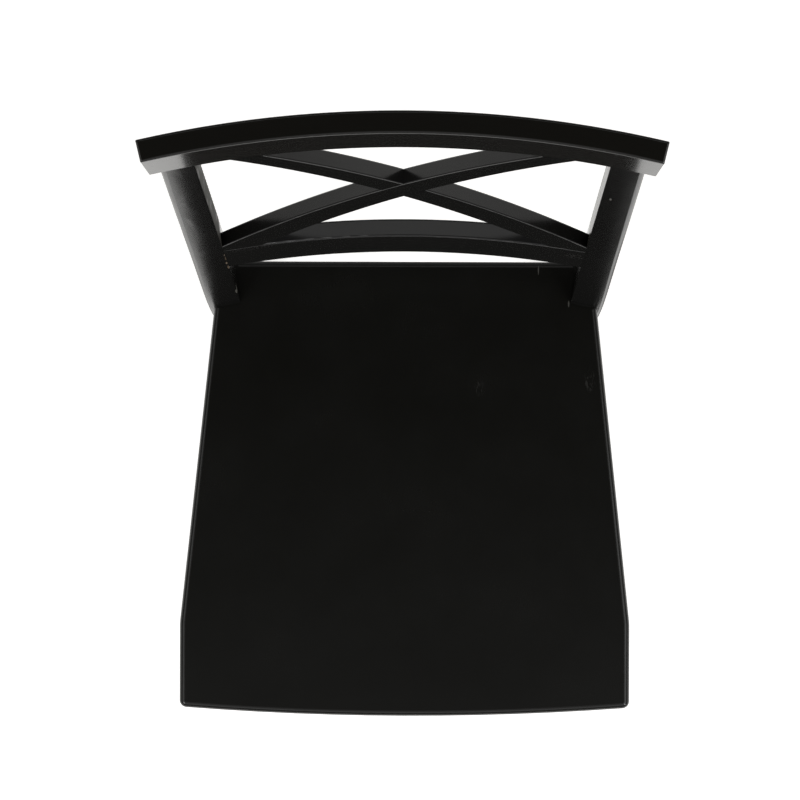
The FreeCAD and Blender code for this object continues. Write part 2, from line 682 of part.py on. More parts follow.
# ------------------------------------------------ dowels of the back (raked frame)
pin_local = []
brace_holes = {"rising": [], "falling": []}
for side, tag in ((1, "rising"), (-1, "falling")):
    m = (S["brace_low_m"] + S["brace_high_m"]) / 2
    d = V(side, 0, m).normalize()
    # upper end
    x = ((S["crest_low"] - S["brace_high_c"]) / S["brace_high_m"]
         + (S["crest_low"] - S["brace_low_c"]) / S["brace_low_m"]) / 2
    for end, h in (("up", S["crest_low"]), ("low", S["rail_high"])):
        if end == "low":
            x = ((S["rail_high"] - S["brace_low_c"]) / S["brace_low_m"] - 161.5) / 2 + 2
        n_mid = -sag(x) + S["brace_thick"] / 2
        # follow the bend of the brace at its end
        slope = -x / math.sqrt(S["arc_front"] ** 2 - x * x)
        dd = V(side, slope, m).normalize()
        p = V(side * x, n_mid, h)
        start = p - dd * S["pin_half"]
        pin_local.append(("brace_pin_%s_%s" % (tag, end), start, dd, tag, end))

pins = []
for name, start, dd, tag, end in pin_local:
    pins.append((rod(name, tuple(start), tuple(dd), "pin_dia", "2*pin_half"), tag, end))
doc.recompute()

crest_dowels = []
for side, tag in ((-1, "left"), (1, "right")):
    for k, x in enumerate((171.0, 184.0)):
        n_mid = -sag(x) + S["crest_thick"] / 2
        c = rod("crest_dowel_%s_%d" % (tag, k), (side * x, n_mid, S["crest_low"] - 22), (0, 0, 1),
                "dowel_dia", "2*22")
        crest_dowels.append(c)
doc.recompute()

crest_rail = cut("crest_rail", crest_round, crest_dowels + [p[0] for p in pins if p[2] == "up"])
rake_place(crest_rail)
b_rise = cut("rising_shaped", rising_lapped, [p[0] for p in pins if p[1] == "rising"])
b_fall = cut("falling_shaped", falling_lapped, [p[0] for p in pins if p[1] == "falling"])
rake_place(b_rise)
rake_place(b_fall)
doc.recompute()
cross_rising = cut("cross_brace_rising", b_rise, [posts_both, crest_space])
cross_falling = cut("cross_brace_falling", b_fall, [posts_both, crest_space])
dowel_group_local = group("crest_dowels", crest_dowels)
rake_place(dowel_group_local)
pin_group = group("brace_dowels", [p[0] for p in pins])
rake_place(pin_group)
low_pins = group("low_pins", [p[0] for p in pins if p[2] == "low"])
rake_place(low_pins)
doc.recompute()
lower_back_rail = cut("lower_back_rail", lower_back_rail_blank, [low_pins])

# -------------------------------------------------------------- aprons
Z0 = "seat_top-seat_thick-apron_tall"
z_lo = num(Z0)


def apron(name, pts):
    b = new_body(name + "_stock")
    sk = new_sketch(b, name + "_plan", "XY_Plane", Z0)
    polygon(sk, pts)
    doc.recompute()
    board = pad(b, sk, "apron_tall", name + "_board")
    doc.recompute()
    f = b.newObject("PartDesign::Fillet", name + "_soft")
    f.Base = (board, ["Edge%d" % (k + 1) for k, e in enumerate(board.Shape.Edges)
                      if e.Length > 200 and mid(e).z < z_lo + 1])
    f.Radius = num("apron_round")
    f.setExpression("Radius", "dims.apron_round")
    b.Tip = f
    doc.recompute()
    return b


legs_both = group("legs_both", [leg_stock["left"], leg_stock["right"]])
front_stock = apron("front_apron", [("-(leg_out_x-20)", "leg_front_y+5"), ("leg_out_x-20", "leg_front_y+5"),
                                    ("leg_out_x-20", "leg_front_y+5+apron_thick"),
                                    ("-(leg_out_x-20)", "leg_front_y+5+apron_thick")])
rear_stock = apron("rear_apron", [("-171", "136"), ("171", "136"),
                                  ("171", "136+apron_thick"), ("-171", "136+apron_thick")])
side_stock = {}
SIDE_F, SIDE_R = (199.0, -230.0), (186.0, 138.0)
for side, tag in ((-1, "left"), (1, "right")):
    sx = "" if side > 0 else "-"
    side_stock[tag] = apron("side_apron_" + tag, [
        ("%s(199)" % sx, "-230"), ("%s(186)" % sx, "138"),
        ("%s(186-apron_thick)" % sx, "138"), ("%s(199-apron_thick)" % sx, "-230")])

# dowels of the aprons: (name, point on the joint, direction into the leg)
apron_dowels = {}
side_dir = V(SIDE_R[0] - SIDE_F[0], SIDE_R[1] - SIDE_F[1], 0).normalize()


def side_mid(y, side):
    k = (y - SIDE_F[1]) / (SIDE_R[1] - SIDE_F[1])
    return side * (SIDE_F[0] + k * (SIDE_R[0] - SIDE_F[0]) - S["apron_thick"] / 2)


for side, tag in ((-1, "left"), (1, "right")):
    sd = V(side * side_dir.x, side_dir.y, 0)
    items = []
    for k, z in enumerate((395.0, 417.0)):
        y = S["leg_front_y"] + S["leg_top_size"]
        items.append(("side_front", rod("d_sf_%s_%d" % (tag, k), tuple(V(side_mid(y, side), y, z) - sd * S["dowel_half"]),
                                        tuple(sd), "dowel_dia", "2*dowel_half")))
        # front face of the post at this height and place
        fr = min(v.Point.y for v in Part.LineSegment(V(side_mid(125, side), 60, z), V(side_mid(125, side), 220, z))
                 .toShape().common(post_stock[tag].Shape).Vertexes)
        p = V(side_mid(fr, side), fr, z)
        items.append(("side_rear", rod("d_sr_%s_%d" % (tag, k), tuple(p - sd * S["dowel_half"]),
                                       tuple(sd), "dowel_dia", "2*dowel_half")))
    for k, z in enumerate((406.0, 428.0)):
        x = S["leg_out_x"] - S["leg_top_size"]
        items.append(("front", rod("d_fa_%s_%d" % (tag, k),
                                   (side * (x - S["dowel_half"]), S["leg_front_y"] + 5 + S["apron_thick"] / 2, z),
                                   (side, 0, 0), "dowel_dia", "2*dowel_half")))
        items.append(("rear", rod("d_ra_%s_%d" % (tag, k), (side * (163.0 - S["dowel_half"]), 145.0, z),
                                  (side, 0, 0), "dowel_dia", "2*dowel_half")))
    apron_dowels[tag] = items
doc.recompute()

# ------------------------------------------------------------- stretchers
zs = S["stretch_z"]


def leg_centre(z):
    k = (z - S["glide_tall"]) / (z_lo - 4 - S["glide_tall"])
    size = S["leg_foot_size"] + (S["leg_top_size"] - S["leg_foot_size"]) * k
    return S["leg_out_x"] - size / 2, S["leg_front_y"] + size / 2


def post_centre(tag, z):
    shape = post_stock[tag].Shape
    wires = shape.slice(V(0, 0, 1), z)
    bb = wires[0].BoundBox
    return abs((bb.XMin + bb.XMax) / 2), (bb.YMin + bb.YMax) / 2


stretch = {}
tenon_rods = {}
for side, tag in ((-1, "left"), (1, "right")):
    fx, fy_ = leg_centre(zs)
    rx, ry = post_centre(tag, zs)
    a = V(side * fx, fy_, zs)
    b = V(side * rx, ry, zs)
    d = (b - a).normalize()
    across = V(-d.y, d.x, 0)
    L = (b - a).Length
    rot = FreeCAD.Rotation(d, across, V(0, 0, 1), "ZXY")
    base = a - across * (S["stretch_w"] / 2) - V(0, 0, S["stretch_tall"] / 2)
    bx = doc.addObject("Part::Box", "stretch_board_" + tag)
    bx.Length = L
    bx.Width = S["stretch_w"]
    bx.Height = S["stretch_tall"]
    bx.setExpression("Width", "dims.stretch_w")
    bx.setExpression("Height", "dims.stretch_tall")
    bx.Placement = FreeCAD.Placement(base, rot)
    doc.recompute()
    soft = round_edges("stretch_soft_" + tag, bx, [(lambda e: e.Length > 200, "2")])
    # a round tenon of full length: its ends sit in the leg and the post
    tn = rod("stretch_tenon_" + tag, tuple(a - d * 2), tuple(d), "round_tenon_dia", "%.3f" % (L + 3))
    doc.recompute()
    sh = cut("stretch_shouldered_" + tag, soft, [post_stock[tag], leg_stock[tag]])
    stretch[tag] = fuse("stretch_blank_" + tag, [sh, tn])
    tenon_rods[tag] = tn
    if side > 0:
        centre_mid = (a + b) * 0.5
cx = centre_mid.x
cbox = block("centre_board", ("%.3f" % (2 * cx), "stretch_w", "stretch_tall-4"),
             FreeCAD.Placement(V(-cx, centre_mid.y - S["stretch_w"] / 2, zs - (S["stretch_tall"] - 4) / 2),
                               FreeCAD.Rotation()))
doc.recompute()
csoft = round_edges("centre_soft", cbox, [(lambda e: e.Length > 200, "2")])
csh = cut("centre_shouldered", csoft, [stretch["left"], stretch["right"]])
ctn = rod("centre_tenon", (-cx + 4, centre_mid.y, zs), (1, 0, 0), "10", "%.3f" % (2 * cx - 8))
doc.recompute()

# keep the tenon rod inside the side stretchers clear of the long tenons
centre_stretcher = fuse("centre_stretcher", [csh, ctn])
side_final = {}
for tag in ("left", "right"):
    side_final[tag] = cut("side_stretcher_" + tag, stretch[tag], [ctn])

# ------------------------------------------------------------ corner blocks
Zb = "seat_top-seat_thick-block_tall"
zb = num(Zb)
blocks = {}
bolts = {}
screws = {}
for side, tag in ((-1, "left"), (1, "right")):
    for end in ("front", "rear"):
        name = "corner_block_%s_%s" % (end, tag)
        sx = "" if side > 0 else "-"
        if end == "front":
            yA = S["leg_front_y"] + 5 + S["apron_thick"]
            pts = [(118, yA - 4), (149, yA - 4), (149, yA), (178, yA + 29), (184, yA + 29), (184, yA + 60), (176, yA + 60)]
            corner = V(side * (S["leg_out_x"] - S["leg_top_size"]), S["leg_front_y"] + S["leg_top_size"], 0)
            inward = V(-side, 1, 0).normalize()
        else:
            yA = 136.0
            pts = [(106, yA + 4), (137, yA + 4), (137, yA), (168, yA - 31), (173, yA - 31), (173, yA - 62), (165, yA - 62)]
            corner = V(side * 161.0, 129.0, 0)
            inward = V(-side, -1, 0).normalize()
        b = new_body(name + "_stock")
        sk = new_sketch(b, name + "_plan", "XY_Plane", Zb)
        polygon(sk, [("%s(%.3f)" % (sx, px), "%.3f" % py) for px, py in pts])
        doc.recompute()
        pad(b, sk, "block_tall", name + "_board")
        doc.recompute()
        aprons = [side_stock[tag], front_stock if end == "front" else rear_stock]
        blocks[(end, tag)] = (cut(name + "_fitted", b, aprons), corner, inward)

for key, (fitted, corner, inward) in list(blocks.items()):
    end, tag = key
    side = -1 if tag == "left" else 1
    zc = zb + S["block_tall"] / 2
    # inner face of the block along the diagonal through the leg's corner
    line = Part.LineSegment(corner + V(0, 0, zc) + inward * 1.0, corner + V(0, 0, zc) + inward * 90).toShape()
    pts_in = line.common(fitted.Shape).Vertexes
    far = max((v.Point.distanceToPoint(corner + V(0, 0, zc)) for v in pts_in))
    p_face = corner + V(0, 0, zc) + inward * far
    shank = rod("bolt_shank_%s_%s" % key, tuple(corner + V(0, 0, zc) - inward * 15), tuple(inward),
                "bolt_dia", "%.3f" % (far + 15 + 1))
    head = rod("bolt_head_%s_%s" % key, tuple(p_face), tuple(inward), "bolt_head_dia", "4")
    doc.recompute()
    bolts[key] = (fuse("bolt_%s_%s" % key, [shank, head]), shank)
    # screw up through the block into the seat
    c = fitted.Shape.Solids[0].CenterOfMass
    # beside the bolt, towards the front or rear apron
    sp = V(c.x, c.y, zb) + V(-side, -1 if end == "front" else 1, 0).normalize() * 20
    sh = rod("screw_shank_%s_%s" % key, (sp.x, sp.y, zb + 2.0), (0, 0, 1), "screw_dia", "block_tall+10")
    cone = doc.addObject("Part::Cone", "screw_head_%s_%s" % key)
    cone.Radius1 = S["screw_head_dia"] / 2
    cone.Radius2 = S["screw_dia"] / 2
    cone.Height = 2.5
    cone.setExpression("Radius1", "dims.screw_head_dia/2")
    cone.setExpression("Radius2", "dims.screw_dia/2")
    cone.Placement = FreeCAD.Placement(V(sp.x, sp.y, zb), FreeCAD.Rotation())
    doc.recompute()
    screws[key] = fuse("screw_%s_%s" % key, [sh, cone])

bolt_all = group("corner_bolts_stock", [bolts[k][0] for k in bolts])
screw_all = group("seat_screws_stock", [screws[k] for k in screws])
FINAL = {}
for key, (fitted, corner, inward) in blocks.items():
    name = "corner_block_%s_%s" % key
    FINAL[name] = cut(name, fitted, [bolts[key][0], screws[key]])

# --------------------------------------------------------------- floor glides
glides = []
feet = {}
for side, tag in ((-1, "left"), (1, "right")):
    fx, fy_ = S["leg_out_x"] - S["leg_foot_size"] / 2, S["leg_front_y"] + S["leg_foot_size"] / 2
    feet[("front", tag)] = (side * fx, fy_)
    rx, ry = post_centre(tag, S["glide_tall"] + 0.5)
    feet[("rear", tag)] = (side * rx, ry)
pin_tools = {}
for key, (x, y) in feet.items():
    disc = rod("glide_disc_%s_%s" % key, (x, y, 0), (0, 0, 1), "glide_dia", "glide_tall")
    doc.recompute()
    dsoft = round_edges("glide_soft_%s_%s" % key, disc,
                        [(lambda e: mid(e).z < 0.1 and e.Length > 20, "0.8")])
    pin = rod("glide_pin_%s_%s" % key, (x, y, S["glide_tall"] - 0.5), (0, 0, 1), "glide_pin_dia",
              "glide_pin_tall+0.5")
    doc.recompute()
    pin_tools[key] = pin
    glides.append((key, fuse("glide_%s_%s" % key, [dsoft, pin])))

# ------------------------------------------------------- posts, legs, aprons, seat
doc.recompute()
for side, tag in ((-1, "left"), (1, "right")):
    dw = {}
    for kind, d in apron_dowels[tag]:
        dw.setdefault(kind, []).append(d)
    tools = [crest_space, dowel_group_local, tenon_body, tenon_rods[tag], bolts[("rear", tag)][1],
             pin_tools[("rear", tag)]] + dw["side_rear"] + dw["rear"] + [low_pins]
    FINAL["rear_post_" + tag] = cut("rear_post_" + tag, post_stock[tag], tools)
    tools = [tenon_rods[tag], bolts[("front", tag)][1], pin_tools[("front", tag)]] + dw["side_front"] + dw["front"]
    FINAL["front_leg_" + tag] = cut("front_leg_" + tag, leg_stock[tag], tools)
    FINAL["side_apron_" + tag] = cut("side_apron_" + tag, side_stock[tag],
                                     [post_stock[tag], leg_stock[tag], bolts[("front", tag)][1],
                                      bolts[("rear", tag)][1]] + dw["side_front"] + dw["side_rear"])
both = lambda kind: [d for t in ("left", "right") for k, d in apron_dowels[t] if k == kind]
FINAL["front_apron"] = cut("front_apron", front_stock, [legs_both] + both("front"))
FINAL["rear_apron"] = cut("rear_apron", rear_stock, [posts_both] + both("rear"))
FINAL["seat_panel"] = cut("seat_panel", seat_body, [posts_both, screw_all] + rebates)
FINAL["crest_rail"] = crest_rail
FINAL["cross_brace_rising"] = cross_rising
FINAL["cross_brace_falling"] = cross_falling
FINAL["lower_back_rail"] = lower_back_rail
FINAL["side_stretcher_left"] = side_final["left"]
FINAL["side_stretcher_right"] = side_final["right"]
FINAL["centre_stretcher"] = centre_stretcher
FINAL["crest_dowels"] = dowel_group_local
FINAL["brace_dowels"] = pin_group
FINAL["apron_dowels"] = group("apron_dowels", [d for t in ("left", "right") for k, d in apron_dowels[t]])
FINAL["corner_bolts"] = bolt_all
FINAL["seat_screws"] = screw_all
for key, g in glides:
    FINAL["floor_glide_%s_%s" % key] = g

doc.removeObject("scratch")
doc.recompute()

# ------------------------------------------------------------------- checks
bad = []
for o in doc.Objects:
    if any(s in ("Invalid", "Error") for s in o.State):
        bad.append(o.Name + " " + ",".join(o.State))
for name, o in FINAL.items():
    sh = o.Shape
    if sh.isNull() or not sh.isValid() or not sh.Solids:
        bad.append("shape " + name)
if bad:
    raise RuntimeError("; ".join(bad))

os.makedirs("parts", exist_ok=True)
for name, o in FINAL.items():
    o.Label = name
    sh = o.Shape
    print("%-28s solids %2d  vol %9.1f  X %7.1f %7.1f  Y %7.1f %7.1f  Z %6.1f %6.1f" % (
        name, len(sh.Solids), sh.Volume, sh.BoundBox.XMin, sh.BoundBox.XMax, sh.BoundBox.YMin,
        sh.BoundBox.YMax, sh.BoundBox.ZMin, sh.BoundBox.ZMax))
    sh.exportStep(os.path.join("parts", name + ".step"))
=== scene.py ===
import math

import bpy
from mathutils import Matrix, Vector

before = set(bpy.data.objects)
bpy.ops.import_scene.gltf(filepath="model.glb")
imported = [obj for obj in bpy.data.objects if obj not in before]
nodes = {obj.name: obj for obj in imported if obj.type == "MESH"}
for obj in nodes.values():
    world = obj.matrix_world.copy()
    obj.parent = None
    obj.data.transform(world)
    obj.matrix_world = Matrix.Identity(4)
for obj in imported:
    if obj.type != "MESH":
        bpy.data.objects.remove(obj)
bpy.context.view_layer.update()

# ------------------------------------------------------------------ helpers


def new_mat(name):
    m = bpy.data.materials.new(name)
    m.use_nodes = True
    nt = m.node_tree
    for n in list(nt.nodes):
        nt.nodes.remove(n)
    out = nt.nodes.new("ShaderNodeOutputMaterial")
    p = nt.nodes.new("ShaderNodeBsdfPrincipled")
    nt.links.new(p.outputs["BSDF"], out.inputs["Surface"])
    return m, nt, p


def add(nt, kind, **props):
    n = nt.nodes.new(kind)
    for k, v in props.items():
        setattr(n, k, v)
    return n


def link(nt, a, b):
    nt.links.new(a, b)


def math_node(nt, op, a, b=None, clamp=False):
    n = add(nt, "ShaderNodeMath", operation=op, use_clamp=clamp)
    for i, v in enumerate((a, b)):
        if v is None:
            continue
        if hasattr(v, "is_linked"):
            link(nt, v, n.inputs[i])
        else:
            n.inputs[i].default_value = v
    return n.outputs[0]


def mix_rgb(nt, fac, a, b):
    n = add(nt, "ShaderNodeMix", data_type="RGBA")
    for sock, v in ((n.inputs[0], fac), (n.inputs[6], a), (n.inputs[7], b)):
        if hasattr(v, "is_linked"):
            link(nt, v, sock)
        else:
            sock.default_value = v if not isinstance(v, tuple) or len(v) == 4 else (*v, 1.0)
    return n.outputs[2]


def noise(nt, vec, scale, detail=3.0, rough=0.55, stretch=(1, 1, 1)):
    mp = add(nt, "ShaderNodeMapping")
    mp.inputs["Scale"].default_value = stretch
    link(nt, vec, mp.inputs["Vector"])
    n = add(nt, "ShaderNodeTexNoise")
    n.inputs["Scale"].default_value = scale
    n.inputs["Detail"].default_value = detail
    n.inputs["Roughness"].default_value = rough
    link(nt, mp.outputs[0], n.inputs["Vector"])
    return n.outputs["Fac"]


def step(nt, value, lo, hi):
    n = add(nt, "ShaderNodeMapRange", interpolation_type="SMOOTHSTEP")
    n.inputs["From Min"].default_value = lo
    n.inputs["From Max"].default_value = hi
    link(nt, value, n.inputs["Value"])
    return n.outputs[0]


def spot(nt, vec, at, size, soft=0.35):
    """1 inside a small ellipsoid at a place on the object, 0 outside."""
    mp = add(nt, "ShaderNodeMapping", vector_type="TEXTURE")
    mp.inputs["Location"].default_value = at
    mp.inputs["Scale"].default_value = size
    link(nt, vec, mp.inputs["Vector"])
    ln = add(nt, "ShaderNodeVectorMath", operation="LENGTH")
    link(nt, mp.outputs[0], ln.inputs[0])
    return step(nt, ln.outputs["Value"], 1.0 + soft, 1.0 - soft)


def maximum(nt, values):
    out = values[0]
    for v in values[1:]:
        out = math_node(nt, "MAXIMUM", out, v)
    return out


GRAIN = {"x": (0.06, 1, 1), "y": (1, 0.06, 1), "z": (1, 1, 0.06)}


def lacquer(name, grain="x", base=(0.0033, 0.0032, 0.0028), rough=0.26, dust=0.0, top_sheen_grey=0.0,
            coat=0.3, scuffs=(), chips_and_highlights=(), grain_depth=0.008, tilt=0.0, streak=0.02, ends=None, inner_reflection=None, turn=0.0, ior=1.5, vary=0.5, dulled=()):
    """Black lacquer over wood: faint pores along the grain, orange peel, dust, rubbed edges; also a painted sheen on
    upward faces, a painted floor reflection on faces towards the middle, and painted highlight spots.
    """
    m, nt, p = new_mat(name)
    tc = add(nt, "ShaderNodeTexCoord")
    vec = tc.outputs["Object"]
    if tilt:
        rot = add(nt, "ShaderNodeMapping")
        rot.inputs["Rotation"].default_value = (0.0, tilt, 0.0)
        link(nt, vec, rot.inputs["Vector"])
        gvec = rot.outputs[0]
    else:
        gvec = vec
    pores = noise(nt, gvec, 620.0, 4.0, 0.6, GRAIN[grain])
    broad = noise(nt, gvec, 34.0, 3.0, 0.5, GRAIN[grain])
    peel = noise(nt, vec, 230.0, 2.0, 0.5)
    cloud = noise(nt, vec, 11.0, 3.0, 0.6)
    fleck = noise(nt, vec, 900.0, 1.0, 0.4)
    specks = step(nt, fleck, 0.735, 0.80)
    # upward faces hold dust specks, and are painted a lighter grey: a painted sheen
    geo = add(nt, "ShaderNodeNewGeometry")
    sep = add(nt, "ShaderNodeSeparateXYZ")
    link(nt, geo.outputs["Normal"], sep.inputs[0])
    up = step(nt, sep.outputs["Z"], 0.45, 0.85)
    colour = mix_rgb(nt, math_node(nt, "MULTIPLY", broad, 0.55 * vary), base, tuple(c * 1.9 for c in base))
    # painted sheen: upward faces are painted lighter grey in place of a reflection
    if top_sheen_grey:
        painted_top_sheen = math_node(nt, "MULTIPLY", up, step(nt, cloud, 0.15, 0.75))
        painted_top_sheen = math_node(nt, "MULTIPLY", painted_top_sheen, 0.35)
        painted_top_sheen = math_node(nt, "ADD", painted_top_sheen, math_node(nt, "MULTIPLY", up, 0.65))
        colour = mix_rgb(nt, painted_top_sheen, colour, (top_sheen_grey, top_sheen_grey * 0.985, top_sheen_grey * 1.0))
    if dust:
        d = math_node(nt, "MULTIPLY", specks, up)
        d = math_node(nt, "MULTIPLY", d, dust)
        colour = mix_rgb(nt, d, colour, (0.05, 0.047, 0.043))
    r = math_node(nt, "MULTIPLY", cloud, 0.10)
    r = math_node(nt, "ADD", r, rough - 0.05)
    r = math_node(nt, "ADD", r, math_node(nt, "MULTIPLY", math_node(nt, "SUBTRACT", pores, 0.5), 0.08 * vary))
    if scuffs:
        s = maximum(nt, [spot(nt, vec, at, size) for at, size in scuffs])
        rubbed = step(nt, noise(nt, vec, 420.0, 3.0, 0.7, (1, 0.25, 1)), 0.48, 0.62)
        s = math_node(nt, "MULTIPLY", s, rubbed)
        colour = mix_rgb(nt, math_node(nt, "MULTIPLY", s, 0.14), colour, (0.055, 0.05, 0.046))
        r = math_node(nt, "ADD", r, math_node(nt, "MULTIPLY", s, 0.18))
    # small spots: real chip and paint marks, and painted highlight spots
    if chips_and_highlights:
        for at, size, tone in chips_and_highlights:
            c = spot(nt, vec, at, size, 0.25)
            colour = mix_rgb(nt, c, colour, tone)
            r = math_node(nt, "ADD", r, math_node(nt, "MULTIPLY", c, 0.25))
    for vx, vy, lo, hi, z_from, z_to, amount in dulled:
        # a rubbed side: rougher where it faces that way, fading with height
        side_on = math_node(nt, "ADD", math_node(nt, "MULTIPLY", sep.outputs["X"], vx),
                            math_node(nt, "MULTIPLY", sep.outputs["Y"], vy))
        tall = add(nt, "ShaderNodeSeparateXYZ")
        link(nt, vec, tall.inputs[0])
        rub = math_node(nt, "MULTIPLY", step(nt, side_on, lo, hi), step(nt, tall.outputs["Z"], z_from, z_to))
        r = math_node(nt, "ADD", r, math_node(nt, "MULTIPLY", rub, amount))
    if inner_reflection:
        # the face towards the middle is rougher, and painted paler and warm with dark spots: a painted reflection of
        # the floor, with painted dark spots in it
        side, tone, dull = inner_reflection
        facing = step(nt, math_node(nt, "MULTIPLY", sep.outputs["X"], -side), 0.75, 0.93)
        high = add(nt, "ShaderNodeSeparateXYZ")
        link(nt, vec, high.inputs[0])
        facing = math_node(nt, "MULTIPLY", facing, step(nt, high.outputs["Z"], 0.63, 0.66))
        reflected_spots = step(nt, noise(nt, vec, 95.0, 3.0, 0.6, (1, 1, 0.5)), 0.62, 0.52)
        facing = math_node(nt, "MULTIPLY", facing, math_node(nt, "ADD", math_node(nt, "MULTIPLY", reflected_spots, 0.45), 0.55))
        colour = mix_rgb(nt, facing, colour, tone)
        r = math_node(nt, "ADD", r, math_node(nt, "MULTIPLY", facing, dull))
    link(nt, colour, p.inputs["Base Color"])
    link(nt, r, p.inputs["Roughness"])
    p.inputs["IOR"].default_value = ior
    p.inputs["Coat Weight"].default_value = coat
    p.inputs["Coat Roughness"].default_value = max(0.05, rough - 0.06)
    p.inputs["Coat IOR"].default_value = 1.5
    # pores and a slight orange peel
    b1 = add(nt, "ShaderNodeBump")
    b1.inputs["Strength"].default_value = grain_depth
    b1.inputs["Distance"].default_value = 0.0004
    link(nt, pores, b1.inputs["Height"])
    b2 = add(nt, "ShaderNodeBump")
    b2.inputs["Strength"].default_value = 0.02
    b2.inputs["Distance"].default_value = 0.0006
    link(nt, peel, b2.inputs["Height"])
    link(nt, b1.outputs[0], b2.inputs["Normal"])
    b3 = add(nt, "ShaderNodeBump")
    b3.inputs["Strength"].default_value = streak
    b3.inputs["Distance"].default_value = 0.002
    link(nt, broad, b3.inputs["Height"])
    link(nt, b2.outputs[0], b3.inputs["Normal"])
    shading, clear = b3.outputs[0], b2.outputs[0]
    if turn:
        # the front face is planed a little towards the middle
        place = add(nt, "ShaderNodeSeparateXYZ")
        link(nt, vec, place.inputs[0])
        forward = step(nt, sep.outputs["Y"], -0.30, -0.60)
        h = math_node(nt, "MULTIPLY", math_node(nt, "MULTIPLY", place.outputs["X"], turn), forward)
        b5 = add(nt, "ShaderNodeBump")
        b5.inputs["Strength"].default_value = 1.0
        b5.inputs["Distance"].default_value = 1.0
        link(nt, h, b5.inputs["Height"])
        link(nt, shading, b5.inputs["Normal"])
        shading = clear = b5.outputs[0]
    if ends:
        # the front face is planed a little outwards at both ends
        left, right, slope = ends
        place = add(nt, "ShaderNodeSeparateXYZ")
        link(nt, vec, place.inputs[0])
        x = place.outputs["X"]
        h = math_node(nt, "ADD",
                      math_node(nt, "POWER", math_node(nt, "MAXIMUM", math_node(nt, "SUBTRACT", -left, x), 0.0), 2.0),
                      math_node(nt, "POWER", math_node(nt, "MAXIMUM", math_node(nt, "SUBTRACT", x, right), 0.0), 2.0))
        forward = step(nt, sep.outputs["Y"], -0.60, -0.80)
        h = math_node(nt, "MULTIPLY", math_node(nt, "MULTIPLY", h, -slope), forward)
        for tail in (0, 1):
            b4 = add(nt, "ShaderNodeBump")
            b4.inputs["Strength"].default_value = 1.0
            b4.inputs["Distance"].default_value = 1.0
            link(nt, h, b4.inputs["Height"])
            link(nt, clear if tail else shading, b4.inputs["Normal"])
            if tail:
                clear = b4.outputs[0]
            else:
                shading = b4.outputs[0]
    link(nt, shading, p.inputs["Normal"])
    link(nt, clear, p.inputs["Coat Normal"])
    return m


def beech(name, grain):
    m, nt, p = new_mat(name)
    vec = add(nt, "ShaderNodeTexCoord").outputs["Object"]
    g = noise(nt, vec, 260.0, 5.0, 0.6, GRAIN[grain])
    broad = noise(nt, vec, 40.0, 3.0, 0.5, GRAIN[grain])
    c = mix_rgb(nt, broad, (0.47, 0.30, 0.16), (0.62, 0.43, 0.26))
    c = mix_rgb(nt, step(nt, g, 0.55, 0.72), c, (0.33, 0.20, 0.10))
    link(nt, c, p.inputs["Base Color"])
    link(nt, math_node(nt, "ADD", math_node(nt, "MULTIPLY", g, 0.2), 0.5), p.inputs["Roughness"])
    b = add(nt, "ShaderNodeBump")
    b.inputs["Strength"].default_value = 0.25
    b.inputs["Distance"].default_value = 0.0005
    link(nt, g, b.inputs["Height"])
    link(nt, b.outputs[0], p.inputs["Normal"])
    return m


def zinc(name):
    m, nt, p = new_mat(name)
    vec = add(nt, "ShaderNodeTexCoord").outputs["Object"]
    n = noise(nt, vec, 900.0, 3.0, 0.6)
    c = mix_rgb(nt, n, (0.52, 0.52, 0.49), (0.70, 0.69, 0.66))
    link(nt, c, p.inputs["Base Color"])
    link(nt, math_node(nt, "ADD", math_node(nt, "MULTIPLY", n, 0.25), 0.25), p.inputs["Roughness"])
    p.inputs["Metallic"].default_value = 1.0
    return m


def nylon(name):
    m, nt, p = new_mat(name)
    vec = add(nt, "ShaderNodeTexCoord").outputs["Object"]
    n = noise(nt, vec, 1400.0, 2.0, 0.5)
    c = mix_rgb(nt, n, (0.02, 0.02, 0.02), (0.045, 0.045, 0.043))
    link(nt, c, p.inputs["Base Color"])
    link(nt, math_node(nt, "ADD", math_node(nt, "MULTIPLY", n, 0.2), 0.5), p.inputs["Roughness"])
    return m


def dress(node, material):
    o = nodes[node]
    o.data.materials.clear()
    o.data.materials.append(material)


# ---------------------------------------------------------------- materials
seat_scuffs = [((0.180, 0.062, 0.457), (0.005, 0.009, 0.02)),
               ((0.073, 0.055, 0.457), (0.004, 0.007, 0.02))]
# the second seat mark, at the right post's foot, is a painted highlight
seat_marks_and_highlight = [((0.1296, 0.1705, 0.457), (0.0006, 0.0045, 0.01), (0.055, 0.052, 0.046)),
              ((0.1592, 0.1372, 0.457), (0.0007, 0.0030, 0.01), (0.05, 0.048, 0.042))]
dress("seat_panel", lacquer("seat_lacquer", "y", base=(0.0020, 0.0019, 0.0012), rough=0.26, coat=0.0, dust=0.25, scuffs=seat_scuffs, chips_and_highlights=seat_marks_and_highlight,
                            streak=0.002, grain_depth=0.006, vary=0.15,
                            dulled=[(0.0, 1.0, 0.25, 0.55, 0.30, 0.31, 0.45)]))
dress("crest_rail", lacquer("crest_lacquer", "x", base=(0.0064, 0.0059, 0.0050), rough=0.20, coat=0.9, ior=1.2,
                            streak=0.02, ends=(0.156, 0.170, 4.0)))
# the rail and both braces get the painted sheen on their upward faces
dress("lower_back_rail", lacquer("rail_lacquer", "x", rough=0.20, top_sheen_grey=0.011, streak=0.02,
                                 scuffs=[((0.154, 0.176, 0.615), (0.009, 0.012, 0.007)),
                                         ((-0.138, 0.178, 0.628), (0.022, 0.012, 0.004))]))
# the light spot on the rising brace at the crossing is a painted highlight on its notch
dress("cross_brace_rising", lacquer("rising_lacquer", "x", rough=0.18, top_sheen_grey=0.004, tilt=0.73, streak=0.02,
                                      chips_and_highlights=[((0.0010, 0.2205, 0.793), (0.0012, 0.006, 0.0020), (0.16, 0.155, 0.14))]))
dress("cross_brace_falling", lacquer("falling_lacquer", "x", rough=0.18, top_sheen_grey=0.004, tilt=-0.73, streak=0.02))
